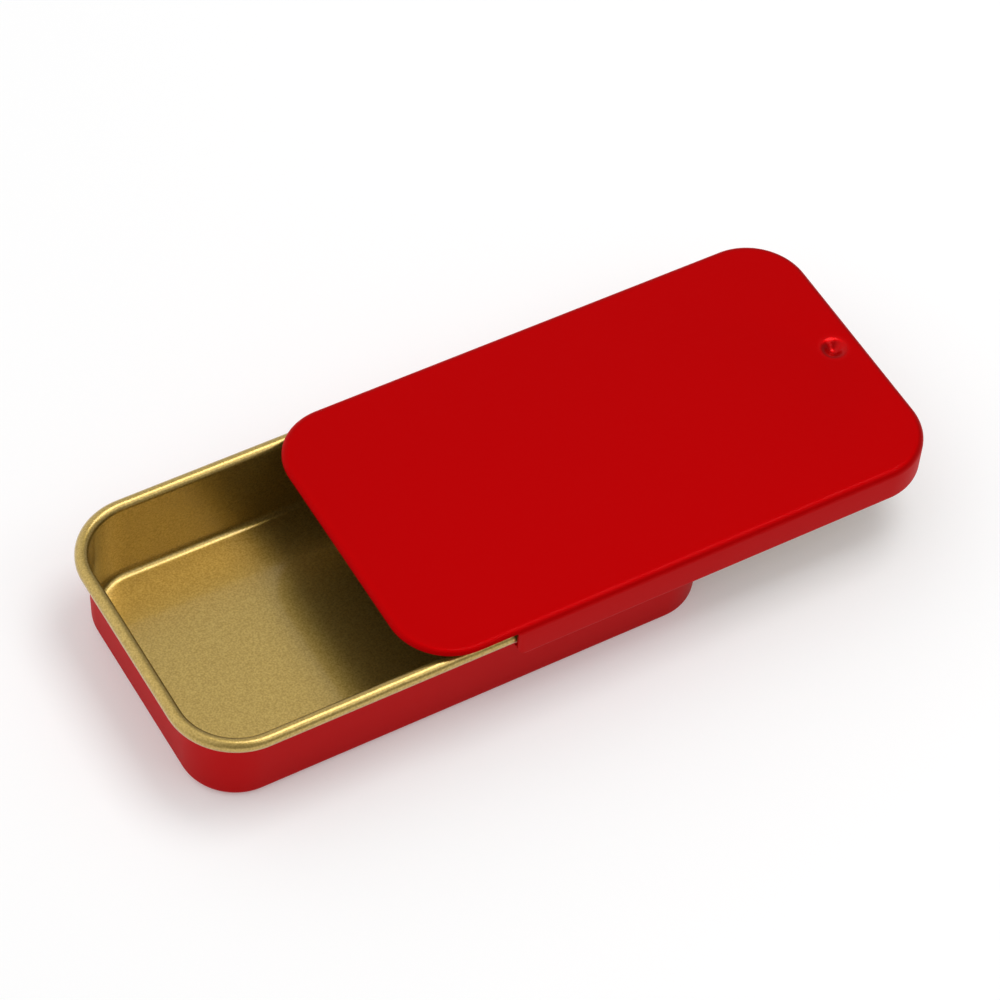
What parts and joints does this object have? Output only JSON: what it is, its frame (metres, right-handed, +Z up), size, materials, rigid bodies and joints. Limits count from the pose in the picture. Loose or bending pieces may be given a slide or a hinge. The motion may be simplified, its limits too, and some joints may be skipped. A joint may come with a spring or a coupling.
{
  "type": "slide-top tin",
  "caption": "Small shallow tin with rounded corners: a drawn tray with a rolled rim, and a lid that slides lengthwise on curled side rails.",
  "frame": {"origin": "middle of the tray's flat underside", "axes": "+X along the slide, in the direction the lid opens; +Y across the tin; +Z up, from the floor to the lid"},
  "size_m": [0.083, 0.0334, 0.0114],
  "materials": {
    "red_enamel": "satin red enamel on tinplate",
    "gold_lacquer": "fine-grained gold lacquer on tinplate"
  },
  "bodies": {
    "tin_tray": {"tray": "red_enamel", "tray_lacquer": "gold_lacquer"},
    "slide_lid": {"lid": "red_enamel", "lid_lacquer": "gold_lacquer"}
  },
  "joints": [
    {"name": "lid_slide", "type": "slide", "parent": "tin_tray", "child": "slide_lid", "axis": [1, 0, 0], "range_m": [-0.0231, 0.0147]}
  ]
}
